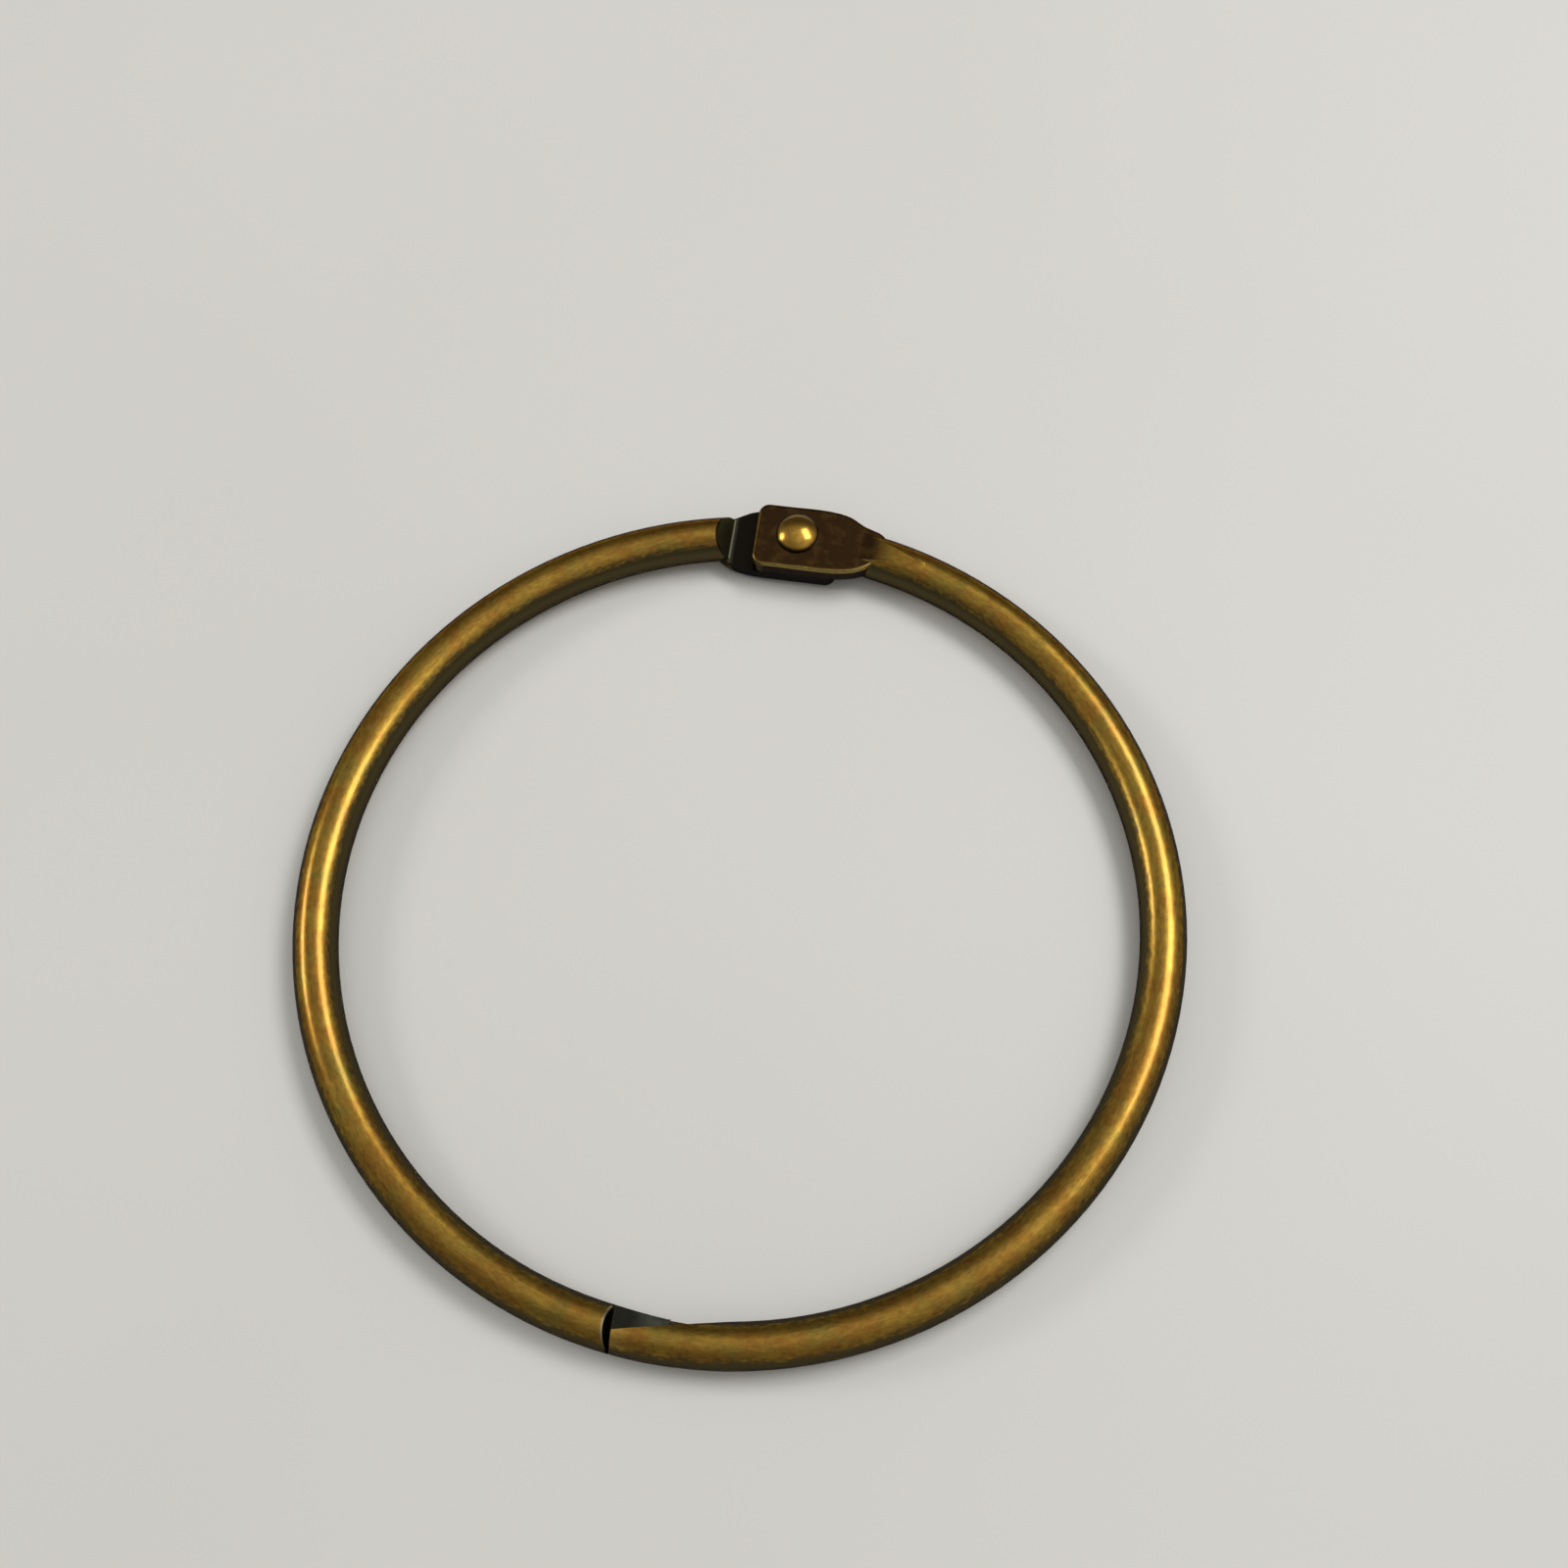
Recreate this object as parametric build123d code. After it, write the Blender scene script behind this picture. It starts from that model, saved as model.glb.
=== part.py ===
from build123d import *
import math
import os

# Ring of round wire, lying flat
ring_radius = 37.0  # middle of the ring to the middle of the wire
wire_diameter = 4.0

# Paddles that the two wire ends are pressed into at the hinge
paddle_inner = 3.5  # rivet to the inner edge of a paddle
paddle_outer = 2.85  # rivet to the outer edge of a paddle
paddle_end = 3.9  # rivet to the free end of a paddle
paddle_run = 8.4  # rivet to the point of the leaf, inside the wire
paddle_corner = 1.0
paddle_edge_round = 0.35
flat_depth = 0.5  # pressed flat below the crown of the wire
flat_run = 6.0  # rivet to where the pressed flat starts to roll up to the crown
flat_fade = 6.0  # run of that roll along the wire
shoulder_foot = 6.15  # rivet to the foot of the shoulder where the wire starts
shoulder_run = 1.2
press_round = 0.3  # in the creases that the press leaves
hinge_play = 0.05  # between the paddles, and under the rivet's head

# Leaf-shaped side of a paddle, as shares of paddle_run along the wire and of paddle_inner or
# paddle_outer across it: inwards to the point of the leaf, then outwards from it
inner_side_shares = [(0.135, 1.0), (0.465, 0.985), (0.68, 0.885), (0.8, 0.745), (0.885, 0.565), (1.0, 0.13)]
outer_side_shares = [(0.96, 0.27), (0.73, 0.585), (0.583, 0.83), (0.37, 0.985)]
straight_share = 0.4  # straight part of a paddle's sides, of paddle_end
wire_root_share = 0.8  # wire carried on into the paddle, of shoulder_foot

# Rivet
rivet_shank_diameter = 2.2
rivet_head_diameter = 3.9
rivet_head_height = 0.9
rivet_head_rim = 0.15
rivet_tail_diameter = 3.4
rivet_grip = 0.02  # round the shank in the lower paddle
pivot_clearance = 0.05  # round the shank in the upper paddle

# Half-lap clasp opposite the hinge
lap_reach = 4.65  # middle of the clasp to each step
lap_end_gap = 0.35  # end of a half to the step it meets
lug_gap = 0.2  # between the two lugs when closed
step_wear = 0.4  # worn crest of a step, along the wire
step_wear_depth = 0.9
pocket_start = 0.1  # depth of the pocket below the middle of the wire, at the step
pocket_depth = 0.8  # and in front of the lug
lug_rise = 0.3  # above the middle of the wire
lug_fall = 0.8  # slope of the lug down to its end
lap_round = 0.2
tongue_relief = 0.5  # cut back on the outer side of the hook half's tongue
tongue_round = 1.0
lug_inner = 1.65  # middle line of the wire to the inner side of the hook half's lug
skirt_clearance = 0.15  # tongue to the skirt of the tip half that covers its outer side
tip_width = 1.85  # end of the tip half
tip_taper_run = 10.4

overrun = 3.0  # cutting past a face

wire_radius = wire_diameter / 2
inner_radius = ring_radius - wire_radius
outer_radius = ring_radius + wire_radius
relief_radius = outer_radius - tongue_relief
wire_root = shoulder_foot * wire_root_share
flat_level = wire_radius - flat_depth
shelf_level = -hinge_play / 2
lap_end = lap_reach - lap_end_gap


def ring_angle(along):
    # Angle at the middle of the ring for a distance along the tangent at the hinge or clasp
    return math.degrees(math.asin(along / ring_radius))


def circle_height(radius, along):
    return math.sqrt(radius**2 - along**2)


def cap_radius(diameter, height):
    # Ball that a dome of this width and height is cut from
    return (diameter**2 / 4 + height**2) / (2 * height)


def across(points, corner_round, toward):
    # Cut of this outline in the XZ plane, carried from the middle of the ring across the wire
    profile = Plane.XZ * make_face(FilletPolyline(*points, radius=corner_round, close=True))
    return extrude(profile, amount=outer_radius + overrun, dir=toward)


def bent_wire():
    section = Plane.XZ * Pos(ring_radius, 0) * Circle(wire_radius)
    start = ring_angle(wire_root)
    sweep = 180 - start + ring_angle(lap_reach)
    return Rot(0, 0, 90 + start) * revolve(section, axis=Axis.Z, revolution_arc=sweep)


def paddle_outline():
    # Seen from above with the rivet in the middle and the wire going off to the left
    inner = [(-paddle_run * u, -paddle_inner * v) for u, v in inner_side_shares]
    outer = [(-paddle_run * u, paddle_outer * v) for u, v in outer_side_shares]
    straight = paddle_end * straight_share
    low = (straight, -paddle_inner)
    high = (straight, paddle_outer)
    low_corner = (paddle_end, -paddle_inner)
    high_corner = (paddle_end, paddle_outer)
    free_end = FilletPolyline(low, low_corner, high_corner, high, radius=paddle_corner)
    wire_side = Spline(low, *inner, *outer, high, tangents=[(-1, 0), (1, 0)])
    return Pos(0, ring_radius) * make_face([free_end, wire_side])


def paddle(outline):
    plate = Pos(0, 0, -flat_level) * extrude(outline, amount=flat_level + shelf_level)
    lower_face = plate.faces().sort_by(Axis.Z)[0]
    return fillet(lower_face.edges(), paddle_edge_round)


def shoulder_cut():
    # Everything over the paddle, back to the steep shoulder of the round wire
    top = wire_radius + overrun
    lean = shoulder_run / (wire_radius - shelf_level)
    far = paddle_end + overrun
    points = [
        (-shoulder_foot - lean * (top - shelf_level), top),
        (-shoulder_foot, shelf_level),
        (far, shelf_level),
        (far, top),
    ]
    return across(points, press_round, (0, 1, 0))


def press_cut():
    # Everything below the pressed flat, which rolls up to the crown of the wire
    reach = flat_run + flat_fade
    width = outer_radius + overrun
    roll = cap_radius(2 * flat_fade, flat_depth)
    below = Box(reach + paddle_end + overrun, width, overrun, align=(Align.MIN, Align.MIN, Align.MAX))
    rolled = Rot(90, 0, 0) * Cylinder(roll, 2 * width)
    return Pos(-reach, 0, -flat_level) * below - Pos(-reach, 0, roll - wire_radius) * rolled


def lap_cut():
    # Step with a worn crest, pocket and lug on top of the tongue, and the end of the tongue
    top = wire_radius + overrun
    far = lap_end + overrun
    crest = wire_radius - step_wear_depth
    crest_lean = step_wear / step_wear_depth
    points = [
        (-lap_reach - crest_lean * (top - crest), top),
        (-lap_reach, crest),
        (-lap_reach, -pocket_start),
        (lug_gap / 2, -pocket_depth),
        (lug_gap / 2, lug_rise),
        (lap_end, lug_rise - lug_fall),
        (lap_end, -top),
        (far, -top),
        (far, top),
    ]
    return across(points, lap_round, (0, -1, 0))


def end_cut():
    # Everything past the end of a half
    size = wire_diameter + 2 * overrun
    beyond = Box(overrun, size, size, align=(Align.MIN, Align.CENTER, Align.CENTER))
    return Pos(lap_end, -ring_radius) * beyond


def pressed_half():
    # Both halves start as this piece, one of them turned over
    return bent_wire() - shoulder_cut() - press_cut() + paddle(paddle_outline())


def pivot_hole(clearance):
    return Pos(0, ring_radius) * Cylinder(rivet_shank_diameter / 2 + clearance, 2 * wire_diameter)


def tongue_trim():
    # Everything round the tongue: it is cut back on its outer side, and its lug is narrowed and rounded
    height = 2 * wire_diameter
    width = wire_diameter + 2 * overrun
    start = -lap_end - skirt_clearance
    inner_edge = -circle_height(inner_radius, start)
    lug_edge = lug_inner - ring_radius
    arc_start = (start, -circle_height(relief_radius, start))
    arc_end = (lap_end, -circle_height(relief_radius, lap_end))
    rest = [(lap_end, lug_edge), (lug_gap / 2, lug_edge), (lug_gap / 2, inner_edge), (start, inner_edge)]
    keep = make_face([RadiusArc(arc_start, arc_end, -relief_radius), Polyline(arc_end, *rest, arc_start)])
    keep = fillet(keep.vertices().group_by(Axis.X)[-1], tongue_round)
    block = Pos(start, -ring_radius) * Rectangle(2 * lap_reach, width, align=(Align.MIN, Align.CENTER))
    return Pos(0, 0, -height / 2) * extrude(block - keep, amount=height)


def tip_taper():
    # Straight cut on the inner side of the tip
    height = 2 * wire_diameter
    start = -lap_end
    stop = start + tip_taper_run
    slope_start = (start, tip_width - circle_height(outer_radius, start))
    slope_stop = (stop, -circle_height(inner_radius, stop))
    inner = -inner_radius + wire_diameter + overrun
    wedge = Polyline(slope_start, slope_stop, (stop, inner), (start, inner), close=True)
    return Pos(0, 0, -height / 2) * extrude(make_face(wedge), amount=height)


def hinge_rivet():
    shank = rivet_shank_diameter / 2
    tail = rivet_tail_diameter / 2
    head = rivet_head_diameter / 2
    tail_level = -flat_level
    head_level = flat_level + hinge_play
    dome_level = head_level + rivet_head_rim
    dome_height = rivet_head_height - rivet_head_rim
    head_ball = cap_radius(rivet_head_diameter, dome_height)
    tail_ball = cap_radius(rivet_tail_diameter, flat_depth)
    tail_tip = (0, tail_level - flat_depth)
    head_tip = (0, dome_level + dome_height)
    outline = [
        RadiusArc(tail_tip, (tail, tail_level), -tail_ball),
        Polyline(
            (tail, tail_level),
            (shank, tail_level),
            (shank, head_level),
            (head, head_level),
            (head, dome_level),
        ),
        RadiusArc((head, dome_level), head_tip, -head_ball),
        Line(head_tip, tail_tip),
    ]
    return Pos(0, ring_radius) * revolve(Plane.XZ * make_face(outline), axis=Axis.Z)


def hook_half():
    return pressed_half() - lap_cut() - tongue_trim() - pivot_hole(rivet_grip)


def tip_half():
    over = Rot(0, 180, 0)
    inside_skirt = Cylinder(relief_radius + skirt_clearance, 2 * wire_diameter)
    half = over * (pressed_half() - end_cut()) - (over * lap_cut() & inside_skirt)
    return half - tip_taper() - pivot_hole(pivot_clearance)


nodes = {
    "hook_half": hook_half(),
    "tip_half": tip_half(),
    "hinge_rivet": hinge_rivet(),
}
os.makedirs("parts", exist_ok=True)
for name, node in nodes.items():
    # The wire lies on the plane Z = 0
    export_step(Pos(0, 0, wire_radius) * node, f"parts/{name}.step")
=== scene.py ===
import math

import bpy
from mathutils import Matrix, Vector

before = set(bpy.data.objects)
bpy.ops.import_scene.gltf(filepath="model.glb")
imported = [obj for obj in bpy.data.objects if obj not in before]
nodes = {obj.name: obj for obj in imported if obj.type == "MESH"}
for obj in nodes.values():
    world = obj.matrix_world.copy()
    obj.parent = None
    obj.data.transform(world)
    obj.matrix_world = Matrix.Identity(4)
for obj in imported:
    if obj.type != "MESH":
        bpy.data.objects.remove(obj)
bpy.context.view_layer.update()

mm = 0.001
print("frame loaded:", sorted(nodes))


def linear(hexText):
    parts = [int(hexText[i:i + 2], 16) / 255 for i in (1, 3, 5)]
    return tuple(p / 12.92 if p <= 0.04045 else ((p + 0.055) / 1.055) ** 2.4 for p in parts) + (1.0,)


def addNode(tree, kind, links, **settings):
    # Links go to the sockets in use, in order or by name, and the first output in use comes back
    node = tree.nodes.new("ShaderNode" + kind)
    for name, value in settings.items():
        setattr(node, name, value)
    sockets = [socket for socket in node.inputs if socket.enabled]
    named = {socket.name: socket for socket in sockets}
    for key, value in links.items() if isinstance(links, dict) else enumerate(links):
        socket = named[key] if isinstance(links, dict) else sockets[key]
        if isinstance(value, bpy.types.NodeSocket):
            tree.links.new(value, socket)
        else:
            socket.default_value = value
    return next((socket for socket in node.outputs if socket.enabled), None)


def newMaterial(name):
    material = bpy.data.materials.new(name)
    material.use_nodes = True
    material.node_tree.nodes.clear()
    return material, material.node_tree


def dress(node, material):
    node.data.materials.clear()
    node.data.materials.append(material)


# Settings that many nodes share
smooth = {"interpolation_type": "SMOOTHSTEP"}
colours = {"data_type": "RGBA"}
times = {"operation": "MULTIPLY"}
timesPlus = {"operation": "MULTIPLY_ADD"}
less = {"operation": "SUBTRACT"}
larger = {"operation": "MAXIMUM"}
absolute = {"operation": "ABSOLUTE"}
isOver = {"operation": "GREATER_THAN"}
isUnder = {"operation": "LESS_THAN"}

# Antique brass plate on steel wire: plated, blackened, then rubbed back. The crown of the wire shines
# gold-brown, the rim of the tip half's paddle gets a painted highlight and its walls painted shade, and
# the sides and all that is pressed or cut stay olive-black; on the sides that olive-black is patina and
# also a painted dark reflection. Each ramp holds the two ends of what is read, then the share given at
# each end.
wireFinish = {
    "ringRadius": 37 * mm,
    "wireRadius": 2 * mm,
    "gold": "#98772e",
    "orange": "#926a28",
    "olive": "#837331",
    "edge": "#988448",
    "patinaAndReflection": "#4c4328",
    "flat": "#311f08",
    "speck": "#483314",
    "tint": "#6a6046",
    "noises": {
        "grain": {"size": (1.6 * mm, 0.14 * mm, 0.14 * mm), "detail": 3.0, "alongWire": True},
        "fleck": {"size": (0.6 * mm, 0.26 * mm, 0.26 * mm), "detail": 2.0, "alongWire": True},
        "tint": {"size": (2.6 * mm, 2.6 * mm, 2.6 * mm), "detail": 4.0, "alongWire": False},
        "speck": {"size": (1.1 * mm, 1.1 * mm, 1.1 * mm), "detail": 4.0, "alongWire": False},
        "dents": {"size": (3.5 * mm, 3.5 * mm, 3.5 * mm), "detail": 2.0, "alongWire": False},
    },
    "noiseRoughness": 0.6,
    "noiseMiddle": 0.5,
    "raggedShares": (0.34, 0.16, 0.14),
    "sideRamp": (0.59, 0.87, 1.0, 0.0),
    "proudRamp": (-1.45 * mm, -0.9 * mm, 1.0, 0.0),
    "pressedRamp": (0.05 * mm, 0.35 * mm, 0.0, 1.0),
    "orangeRamp": (0.42, 0.58, 0.0, 1.0),
    "oliveRamp": (0.50, 0.68, 0.0, 0.6),
    "speckRamp": (0.46, 0.70, 0.0, 0.8),
    "aboveRamp": (-0.5, -0.2, 0.0, 1.0),
    "grainShade": (0.5, 0.75),
    "fleckShade": (0.9, 0.55),
    "roughness": 0.24,
    "dullRoughness": 0.14,
    "fleckRoughness": 0.12,
    "scratchStrength": 0.2,
    "scratchDepth": 0.012 * mm,
    "dentStrength": 0.4,
    "dentDepth": 0.10 * mm,
    "coat": 0.15,
    "coatRoughness": 0.12,
}

# Marks on the hook half: where the rubbing did not reach, with painted shade on the shelf beside the
# upper paddle, a lighter corner on the lug, a light line along the crease, and a painted highlight along
# the step's crest
hookMarks = {
    "shelf": {
        "lean": 0.6, "edgeRamp": (-6.35 * mm, -6.27 * mm, 0.0, 1.0), "colour": "#140e06",
        "foot": -5.5 * mm, "steepRamp": (0.3, 0.6, 0.0, 1.0), "shoulder": "#5d593c",
    },
    "tongue": {
        "edgeRamp": (-4.62 * mm, -4.54 * mm, 0.0, 1.0), "colour": "#17170f",
        "pocketRamp": (-3.4 * mm, -0.8 * mm, 0.1, 1.0), "pocketSpeckRamp": (0.36, 0.62, 0.2, 0.8),
        "pocket": "#41443a", "front": 0.05 * mm,
        "lugTintRamp": (0.35, 0.60, 0.6, 0.2), "lug": "#3a291a",
        "wornRamp": (0.05 * mm, 0.65 * mm, 1.0, 0.0), "topRamp": (2.1 * mm, 2.22 * mm, 0.0, 1.0),
        "cornerRamp": (-37.5 * mm, -38.1 * mm, 0.0, 1.0), "worn": "#8d8064",
    },
    "crease": {"at": -6.05 * mm, "ramp": (0.0, 0.42 * mm, 0.12, 0.0), "colour": "#a39d84"},
    "crest": {
        "back": -5.3 * mm, "front": -4.64 * mm, "faceRamp": (0.4, 0.7, 0.0, 1.0), "dark": "#1f1d15",
        "foot": 1.1 * mm, "lean": 0.444, "lineAt": -4.69 * mm, "lineRamp": (0.0, 0.16 * mm, 0.5, 0.0),
        "insideRamp": (-38.4 * mm, -37.2 * mm, 0.0, 1.0), "colour": "#e2d6b6",
    },
}

# The tip half's marks: painted highlight on the rim of the paddle inside an ellipse in plan, painted
# shade on the paddle's walls, and the end of the tip painted lighter gold
tipMarks = {
    "rim": {
        "middle": (1.4 * mm, 36.8 * mm, 0.0), "half": (6.4 * mm, 4.4 * mm, 1.0),
        "edgeRamp": (0.97, 1.03, 1.0, 0.0), "wallShadeRamp": (0.05, 0.25, 1.0, 0.0),
        "fromWallRamp": (0.10, 0.45, 0.0, 1.0), "toFlatRamp": (0.90, 0.99, 1.0, 0.0),
        "inwardRamp": (-0.3, 0.3, 1.0, 0.1),
    },
    "end": {"ramp": (-4.3 * mm, -2.5 * mm, 0.55, 0.0), "colour": "#c9a552"},
}


def antiqueBrass(name, marks):
    w = wireFinish
    material, tree = newMaterial(name)
    place = addNode(tree, "TexCoord", []).node
    spot = place.outputs["Object"]
    x, y, z = addNode(tree, "SeparateXYZ", [spot]).node.outputs
    normalX, normalY, normalZ = addNode(tree, "SeparateXYZ", [place.outputs["Normal"]]).node.outputs
    upright = addNode(tree, "Math", [normalZ], **absolute)
    atHinge = addNode(tree, "Math", [y, 0.0], **isOver)
    atClasp = addNode(tree, "Math", [1.0, atHinge], **less)
    # The round and the flat underneath were rubbed like the rest
    notUnder = addNode(tree, "MapRange", [normalZ, *w["aboveRamp"]], **smooth)

    # Grain and flecks run along the bent wire: turn about the ring's middle, distance from it, height
    sideways = addNode(tree, "Math", [x], **absolute)
    turn = addNode(tree, "Math", [sideways, y], operation="ARCTAN2")
    bend = addNode(tree, "Math", [turn, w["ringRadius"]], **times)
    plan = addNode(tree, "CombineXYZ", [x, y])
    radius = addNode(tree, "VectorMath", [plan], operation="LENGTH")
    wireSpot = addNode(tree, "CombineXYZ", [bend, radius, z])
    noises = []
    for key in ("grain", "fleck", "tint", "speck", "dents"):
        noise = w["noises"][key]
        vector = wireSpot if noise["alongWire"] else spot
        scaled = addNode(tree, "VectorMath", [vector, noise["size"]], operation="DIVIDE")
        noises.append(addNode(tree, "TexNoise", {
            "Vector": scaled, "Scale": 1.0, "Detail": noise["detail"], "Roughness": w["noiseRoughness"]}))
    grain, fleck, tint, speck, dents = noises

    # How far a face lies inside the round of the wire: none on the round, more on pressed flats,
    # less on proud edges
    offset = addNode(tree, "Math", [z, w["wireRadius"]], **less)
    lift = addNode(tree, "Math", [offset], **absolute)
    roundLift = addNode(tree, "Math", [upright, w["wireRadius"]], **times)
    sunk = addNode(tree, "Math", [roundLift, lift], **less)
    # Proud edges take the lighter edge colour: rubbed wear, and on the paddle's rim also a painted
    # highlight
    wearAndHighlight = addNode(tree, "MapRange", [sunk, *w["proudRamp"]], **smooth)
    pressed = addNode(tree, "MapRange", [sunk, *w["pressedRamp"]], **smooth)

    # Rubbing reached the crown of the wire, with a ragged edge; the dark sides beyond it are patina and
    # also a painted dark reflection
    ragged = upright
    for noise, share in zip((fleck, grain, tint), w["raggedShares"]):
        swing = addNode(tree, "Math", [noise, w["noiseMiddle"]], **less)
        ragged = addNode(tree, "Math", [swing, share, ragged], **timesPlus)
    side = addNode(tree, "MapRange", [ragged, *w["sideRamp"]], **smooth)
    # Painted highlight on the rounded rim of the tip half's paddle, facing the ring's middle, joined to
    # the rubbed edges
    if "rim" in marks:
        rim = marks["rim"]
        mapping = {"Vector": plan, "Location": rim["middle"], "Scale": rim["half"]}
        mapped = addNode(tree, "Mapping", mapping, vector_type="TEXTURE")
        reach = addNode(tree, "VectorMath", [mapped], operation="LENGTH")
        inEllipse = addNode(tree, "MapRange", [reach, *rim["edgeRamp"]], **smooth)
        rimHighlight = addNode(tree, "MapRange", [upright, *rim["fromWallRamp"]], **smooth)
        toFlat = addNode(tree, "MapRange", [upright, *rim["toFlatRamp"]], **smooth)
        inward = addNode(tree, "MapRange", [normalY, *rim["inwardRamp"]], **smooth)
        for mask in (toFlat, inEllipse, inward):
            rimHighlight = addNode(tree, "Math", [rimHighlight, mask], **times)
        wearAndHighlight = addNode(tree, "Math", [wearAndHighlight, rimHighlight], **larger)
        kept = addNode(tree, "Math", [1.0, rimHighlight], **less)
        pressed = addNode(tree, "Math", [pressed, kept], **times)
    noWearNoHighlight = addNode(tree, "Math", [1.0, wearAndHighlight], **less)
    side = addNode(tree, "Math", [side, noWearNoHighlight], **times)

    # Gold of the crown: patches of orange and olive, broken up by the grain
    patch = addNode(tree, "MapRange", [tint, *w["orangeRamp"]], **smooth)
    gold = addNode(tree, "Mix", [patch, linear(w["orange"]), linear(w["gold"])], **colours)
    hollow = addNode(tree, "MapRange", [dents, *w["oliveRamp"]], **smooth)
    gold = addNode(tree, "Mix", [hollow, gold, linear(w["olive"])], **colours)
    gold = addNode(tree, "Mix", [wearAndHighlight, gold, linear(w["edge"])], **colours)
    # The end of the tip half painted lighter gold
    if "end" in marks:
        end = marks["end"]
        lighterEnd = addNode(tree, "MapRange", [x, *end["ramp"]], **smooth)
        lighterEnd = addNode(tree, "Math", [lighterEnd, atClasp], **times)
        gold = addNode(tree, "Mix", [lighterEnd, gold, linear(end["colour"])], **colours)
    drawn = addNode(tree, "Math", [grain, *w["grainShade"]], **timesPlus)
    flecked = addNode(tree, "Math", [fleck, *w["fleckShade"]], **timesPlus)
    shade = addNode(tree, "Math", [drawn, flecked], **times)
    gold = addNode(tree, "VectorMath", [gold, shade], operation="SCALE")

    # Olive-black sides, patina and a painted dark reflection, and blackened pressed flats over the gold
    mottle = addNode(tree, "MapRange", [speck, *w["speckRamp"]], **smooth)
    mottled = addNode(tree, "Mix", [mottle, linear(w["flat"]), linear(w["speck"])], **colours)
    colour = addNode(tree, "Mix", [side, gold, linear(w["patinaAndReflection"])], **colours)
    colour = addNode(tree, "Mix", [pressed, colour, mottled], **colours)
    dull = addNode(tree, "Math", [side, pressed], **larger)
    # Painted shade on the walls of the tip half's paddle below its rim
    if "rim" in marks:
        wall = addNode(tree, "MapRange", [upright, *rim["wallShadeRamp"]], **smooth)
        wall = addNode(tree, "Math", [wall, inEllipse], **times)
        colour = addNode(tree, "Mix", [wall, colour, linear(w["flat"])], **colours)
    if "shelf" in marks:
        # Black shelf that the upper paddle turns on, patina painted darker as shade beside the upper
        # paddle, and the olive shoulder behind it
        shelf = marks["shelf"]
        depth = addNode(tree, "Math", [offset, shelf["lean"], x], **timesPlus)
        darkPatch = addNode(tree, "MapRange", [depth, *shelf["edgeRamp"]], **smooth)
        for mask in (atHinge, notUnder):
            darkPatch = addNode(tree, "Math", [darkPatch, mask], **times)
        steep = addNode(tree, "MapRange", [normalX, *shelf["steepRamp"]], **smooth)
        atFoot = addNode(tree, "Math", [x, shelf["foot"]], **isUnder)
        steep = addNode(tree, "Math", [steep, atFoot], **times)
        black = linear(shelf["colour"])
        darkTone = addNode(tree, "Mix", [steep, black, linear(shelf["shoulder"])], **colours)
        colour = addNode(tree, "Mix", [darkPatch, colour, darkTone], **colours)
        dull = addNode(tree, "Math", [dull, darkPatch], **larger)
    if "tongue" in marks:
        # Pocket that turns grey toward the lug, brown lug with its outer front corner painted lighter
        tongue = marks["tongue"]
        darkPatch = addNode(tree, "MapRange", [x, *tongue["edgeRamp"]], **smooth)
        for mask in (atClasp, notUnder):
            darkPatch = addNode(tree, "Math", [darkPatch, mask], **times)
        grey = addNode(tree, "MapRange", [x, *tongue["pocketRamp"]], **smooth)
        patch = addNode(tree, "MapRange", [speck, *tongue["pocketSpeckRamp"]], **smooth)
        grey = addNode(tree, "Math", [grey, patch], **times)
        black = linear(tongue["colour"])
        darkTone = addNode(tree, "Mix", [grey, black, linear(tongue["pocket"])], **colours)
        lug = addNode(tree, "Math", [x, tongue["front"]], **isOver)
        patch = addNode(tree, "MapRange", [tint, *tongue["lugTintRamp"]], **smooth)
        brown = addNode(tree, "Mix", [patch, linear(tongue["lug"]), black], **colours)
        darkTone = addNode(tree, "Mix", [lug, darkTone, brown], **colours)
        worn = addNode(tree, "MapRange", [x, *tongue["wornRamp"]], **smooth)
        high = addNode(tree, "MapRange", [z, *tongue["topRamp"]], **smooth)
        corner = addNode(tree, "MapRange", [y, *tongue["cornerRamp"]], **smooth)
        for mask in (lug, high, corner):
            worn = addNode(tree, "Math", [worn, mask], **times)
        darkTone = addNode(tree, "Mix", [worn, darkTone, linear(tongue["worn"])], **colours)
        colour = addNode(tree, "Mix", [darkPatch, colour, darkTone], **colours)
        dull = addNode(tree, "Math", [dull, darkPatch], **larger)
    if "crease" in marks:
        crease = marks["crease"]
        away = addNode(tree, "Math", [x, crease["at"]], **less)
        away = addNode(tree, "Math", [away], **absolute)
        bright = addNode(tree, "MapRange", [away, *crease["ramp"]], **smooth)
        for mask in (atHinge, notUnder):
            bright = addNode(tree, "Math", [bright, mask], **times)
        colour = addNode(tree, "Mix", [bright, colour, linear(crease["colour"])], **colours)
    if "crest" in marks:
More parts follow.
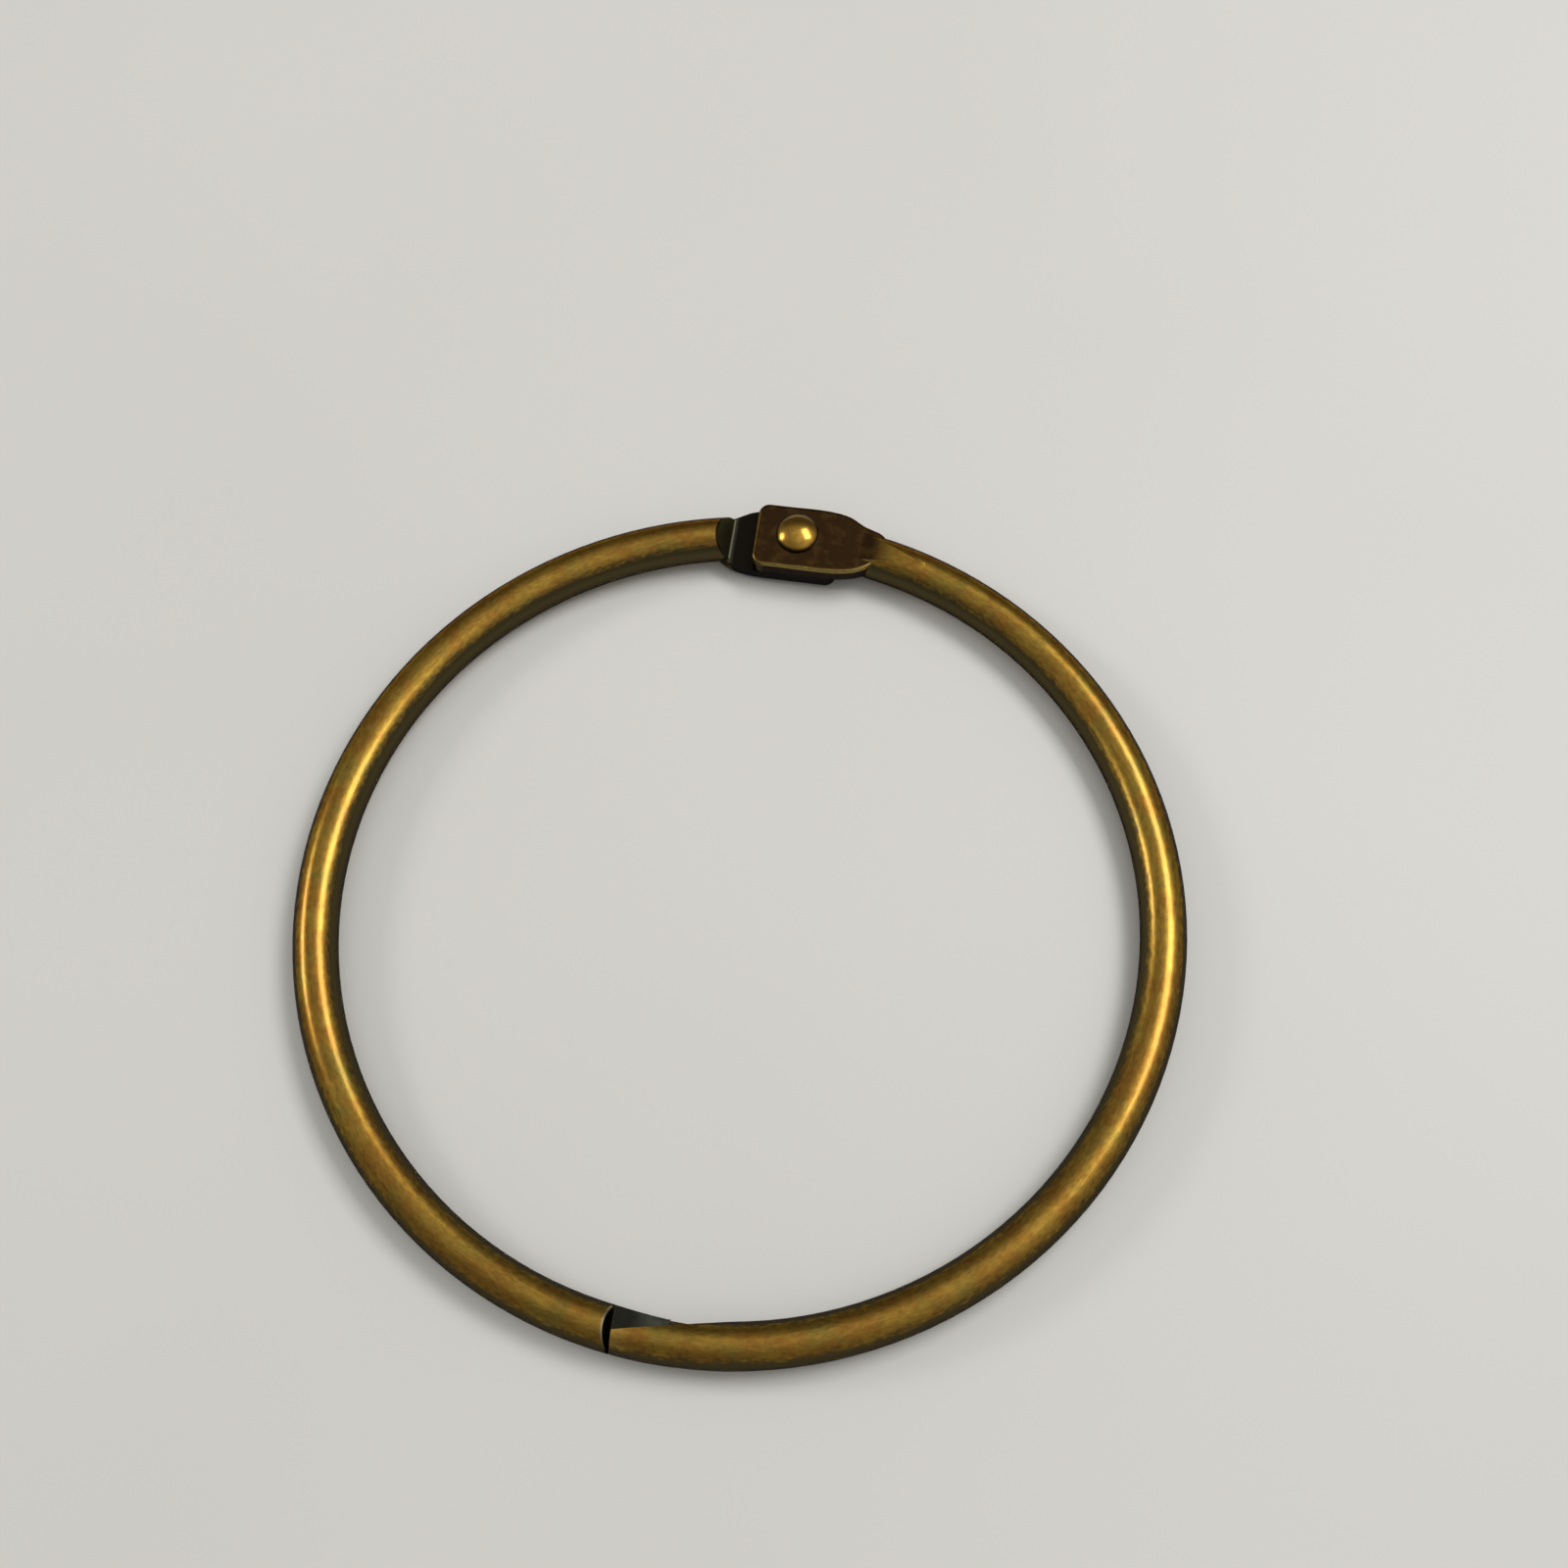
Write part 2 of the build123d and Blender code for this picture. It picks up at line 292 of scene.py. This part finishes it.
        # Face of the step painted dark, and a painted highlight along the line where it meets the round
        # of the wire
        crest = marks["crest"]
        face = addNode(tree, "MapRange", [normalX, *crest["faceRamp"]], **smooth)
        before = addNode(tree, "Math", [x, crest["front"]], **isUnder)
        behind = addNode(tree, "Math", [x, crest["back"]], **isOver)
        for mask in (before, behind, atClasp):
            face = addNode(tree, "Math", [face, mask], **times)
        colour = addNode(tree, "Mix", [face, colour, linear(crest["dark"])], **colours)
        across = addNode(tree, "Math", [radius, w["ringRadius"]], **less)
        square = addNode(tree, "Math", [across, across], **times)
        square = addNode(tree, "Math", [w["wireRadius"] ** 2, square], **less)
        height = addNode(tree, "Math", [square], operation="SQRT")
        height = addNode(tree, "Math", [height, crest["foot"]], **less)
        along = addNode(tree, "Math", [height, crest["lean"], x], **timesPlus)
        away = addNode(tree, "Math", [along, crest["lineAt"]], **less)
        away = addNode(tree, "Math", [away], **absolute)
        bright = addNode(tree, "MapRange", [away, *crest["lineRamp"]], **smooth)
        inside = addNode(tree, "MapRange", [y, *crest["insideRamp"]], **smooth)
        upper = addNode(tree, "Math", [z, w["wireRadius"]], **isOver)
        for mask in (inside, upper, before, behind, atClasp):
            bright = addNode(tree, "Math", [bright, mask], **times)
        colour = addNode(tree, "Mix", [bright, colour, linear(crest["colour"])], **colours)

    # Duller where black, with fine drawn scratches and shallow hollows
    rough = addNode(tree, "Math", [dull, w["dullRoughness"], w["roughness"]], **timesPlus)
    rough = addNode(tree, "Math", [fleck, w["fleckRoughness"], rough], **timesPlus)
    texture = addNode(tree, "Math", [grain, fleck], operation="ADD")
    scratches = addNode(tree, "Bump", {
        "Height": texture, "Strength": w["scratchStrength"], "Distance": w["scratchDepth"]})
    hollows = addNode(tree, "Bump", {
        "Height": dents, "Strength": w["dentStrength"], "Distance": w["dentDepth"],
        "Normal": scratches})
    shader = addNode(tree, "BsdfPrincipled", {
        "Base Color": colour, "Metallic": 1.0, "Roughness": rough, "Normal": hollows,
        "Specular Tint": linear(w["tint"]), "Coat Weight": w["coat"],
        "Coat Roughness": w["coatRoughness"]})
    addNode(tree, "OutputMaterial", {"Surface": shader})
    return material


dress(nodes["hook_half"], antiqueBrass("antique brass plate, hook half", hookMarks))
dress(nodes["tip_half"], antiqueBrass("antique brass plate, tip half", tipMarks))
print("wire halves dressed")

# Brass plate polished by the rivet set: bright gold dome, a painted dark reflection making it browner on
# its far side, dark ring at its foot
rivetFinish = {
    "bright": "#ba9240", "brown": "#8a5e1d", "far": "#63431a", "ring": "#2c2412",
    "middle": 2 * mm, "ringRamp": (3.74 * mm, 3.96 * mm, 1.0, 0.0),
    "farRamp": (36.9 * mm, 37.9 * mm, 0.0, 0.5),
    "grainSize": (0.5 * mm, 0.5 * mm, 0.5 * mm), "grainDetail": 4.0, "grainRoughness": 0.6,
    "brownRamp": (0.4, 0.75, 0.0, 0.6), "roughRamp": (0.0, 1.0, 0.14, 0.30),
    "bumpStrength": 0.2, "bumpDepth": 0.02 * mm,
}


def rivetBrass(name):
    r = rivetFinish
    material, tree = newMaterial(name)
    spot = addNode(tree, "TexCoord", []).node.outputs["Object"]
    y, z = addNode(tree, "SeparateXYZ", [spot]).node.outputs[1:]
    scaled = addNode(tree, "VectorMath", [spot, r["grainSize"]], operation="DIVIDE")
    grain = addNode(tree, "TexNoise", {
        "Vector": scaled, "Scale": 1.0, "Detail": r["grainDetail"], "Roughness": r["grainRoughness"]})
    mottle = addNode(tree, "MapRange", [grain, *r["brownRamp"]])
    dome = addNode(tree, "Mix", [mottle, linear(r["bright"]), linear(r["brown"])], **colours)
    # Painted dark reflection on the far side of the dome
    far = addNode(tree, "MapRange", [y, *r["farRamp"]], **smooth)
    dome = addNode(tree, "Mix", [far, dome, linear(r["far"])], **colours)
    ring = addNode(tree, "MapRange", [z, *r["ringRamp"]], **smooth)
    above = addNode(tree, "Math", [z, r["middle"]], **isOver)
    ring = addNode(tree, "Math", [ring, above], **times)
    colour = addNode(tree, "Mix", [ring, dome, linear(r["ring"])], **colours)
    rough = addNode(tree, "MapRange", [grain, *r["roughRamp"]])
    bump = addNode(tree, "Bump", {
        "Height": grain, "Strength": r["bumpStrength"], "Distance": r["bumpDepth"]})
    shader = addNode(tree, "BsdfPrincipled", {
        "Base Color": colour, "Metallic": 1.0, "Roughness": rough, "Normal": bump})
    addNode(tree, "OutputMaterial", {"Surface": shader})
    return material


dress(nodes["hinge_rivet"], rivetBrass("polished brass plate"))
print("rivet dressed")

# Pale laminate table top: matt, with a faint cloudy tint
tableTop = {
    "size": 1.6, "pale": "#e2e0db", "cloud": "#dbd9d4", "roughness": 0.55,
    "cloudSize": (60 * mm, 60 * mm, 60 * mm), "cloudDetail": 2.0,
}


def layTable():
    t = tableTop
    bpy.ops.object.select_all(action="DESELECT")
    bpy.ops.mesh.primitive_plane_add(size=t["size"], location=(0, 0, 0))
    table = bpy.context.object
    table.name = "table_top"
    material, tree = newMaterial("pale laminate")
    spot = addNode(tree, "TexCoord", []).node.outputs["Object"]
    scaled = addNode(tree, "VectorMath", [spot, t["cloudSize"]], operation="DIVIDE")
    cloud = addNode(tree, "TexNoise", {"Vector": scaled, "Scale": 1.0, "Detail": t["cloudDetail"]})
    colour = addNode(tree, "Mix", [cloud, linear(t["pale"]), linear(t["cloud"])], **colours)
    shader = addNode(tree, "BsdfPrincipled", {"Base Color": colour, "Roughness": t["roughness"]})
    addNode(tree, "OutputMaterial", {"Surface": shader})
    dress(table, material)


layTable()

# Two soft boxes, one low on the left and one higher on the right, under a pale ceiling that darkens to
# the walls, most of all beyond the hinge and on the near side
studio = {
    "ceiling": "#eeeeec", "wall": "#94928e", "brightest": (0.25, 0.0, 0.97), "falloff": 3.0,
    "beyondRamp": (0.3, 0.95, 1.0, 0.45),
    "near": (-0.15, -0.60, 0.785), "nearFalloff": 8.0, "nearShare": 0.45,
    "boxes": [
        {"toward": (-0.847, 0.110, 0.520), "away": 0.70, "size": (0.20, 0.15), "watts": 0.85},
        {"toward": (0.458, 0.345, 0.819), "away": 0.70, "size": (0.42, 0.23), "watts": 2.1},
    ],
}


def lightStudio():
    s = studio
    world = bpy.data.worlds.new("room")
    bpy.context.scene.world = world
    world.use_nodes = True
    tree = world.node_tree
    tree.nodes.clear()
    way = addNode(tree, "TexCoord", []).node.outputs["Generated"]
    lobes = []
    for toward, falloff in ((s["brightest"], s["falloff"]), (s["near"], s["nearFalloff"])):
        facing = addNode(tree, "VectorMath", [way, toward], operation="DOT_PRODUCT")
        facing = addNode(tree, "Math", [facing, 0.0], **larger)
        lobes.append(addNode(tree, "Math", [facing, falloff], operation="POWER"))
    bright, near = lobes
    room = addNode(tree, "Mix", [bright, linear(s["wall"]), linear(s["ceiling"])], **colours)
    beyond = addNode(tree, "SeparateXYZ", [way]).node.outputs[1]
    dim = addNode(tree, "MapRange", [beyond, *s["beyondRamp"]], **smooth)
    nearDim = addNode(tree, "Math", [near, -s["nearShare"], 1.0], **timesPlus)
    dim = addNode(tree, "Math", [dim, nearDim], **times)
    room = addNode(tree, "VectorMath", [room, dim], operation="SCALE")
    shine = addNode(tree, "Background", {"Color": room})
    addNode(tree, "OutputWorld", {"Surface": shine})
    for box in s["boxes"]:
        bpy.ops.object.select_all(action="DESELECT")
        toward = Vector(box["toward"]).normalized()
        bpy.ops.object.light_add(type="AREA", location=toward * box["away"])
        lamp = bpy.context.object
        lamp.data.shape = "RECTANGLE"
        lamp.data.size, lamp.data.size_y = box["size"]
        lamp.data.energy = box["watts"]
        lamp.rotation_mode = "QUATERNION"
        lamp.rotation_quaternion = toward.to_track_quat("Z", "Y")


lightStudio()
print("table and light set")

# Camera fitted to the ring's circle in the photograph: focal, middle and picture in its pixels
lens = {
    "azimuth": 16.6, "elevation": 71.53, "roll": 9.0, "away": 171.3 * mm, "aim": (0, 0, 2 * mm),
    "focal": 2000, "middle": (-49.3, 134.0), "picture": 1600, "sensor": 36.0, "clip": (0.01, 10.0),
}


def setCamera():
    c = lens
    azimuth, elevation, roll = (math.radians(c[key]) for key in ("azimuth", "elevation", "roll"))
    level = math.cos(elevation)
    back = Vector((level * math.sin(azimuth), -level * math.cos(azimuth), math.sin(elevation)))
    upward = Vector((-math.sin(roll), math.cos(roll), 0))
    right = upward.cross(back).normalized()
    top = back.cross(right)
    data = bpy.data.cameras.new("camera")
    data.sensor_width = c["sensor"]
    data.lens = c["focal"] / c["picture"] * c["sensor"]
    data.shift_x = -c["middle"][0] / c["picture"]
    data.shift_y = c["middle"][1] / c["picture"]
    data.clip_start, data.clip_end = c["clip"]
    camera = bpy.data.objects.new("camera", data)
    bpy.context.scene.collection.objects.link(camera)
    turn = Matrix((right, top, back)).transposed().to_4x4()
    camera.matrix_world = Matrix.Translation(Vector(c["aim"]) + back * c["away"]) @ turn
    bpy.context.scene.camera = camera


setCamera()
bpy.context.scene.view_settings.view_transform = "Standard"
print("camera set")
